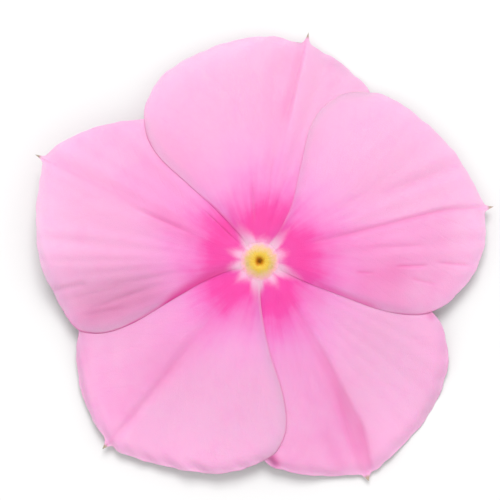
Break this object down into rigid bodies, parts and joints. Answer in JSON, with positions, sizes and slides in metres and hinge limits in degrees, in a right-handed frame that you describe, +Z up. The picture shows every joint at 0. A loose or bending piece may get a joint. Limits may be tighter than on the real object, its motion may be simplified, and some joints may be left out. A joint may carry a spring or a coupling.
{
  "type": "picked madagascar periwinkle bloom",
  "caption": "Flat pink periwinkle flower with broad overlapping petals, a yellow eye and a slender tube folded beneath them, lying face up.",
  "frame": {"origin": "under the middle of the bloom's outline, on the surface that it lies on", "axes": "+Z up, out of the flower's face; +Y towards the petal at the top of the picture; +X to the picture's right"},
  "size_m": [0.0454, 0.0448, 0.0057],
  "materials": {
    "petal": "matte",
    "tube": "matte",
    "throat": "matte",
    "anthers": "matte",
    "pistil": "matte",
    "calyx": "matte"
  },
  "bodies": {
    "root": {"petal_top": "petal", "petal_right": "petal", "petal_lower_right": "petal", "petal_lower_left": "petal", "petal_left": "petal", "corolla_tube": "tube", "throat_ring": "throat", "anther_cone": "anthers", "pistil": "pistil", "calyx": "calyx"}
  },
  "joints": []
}
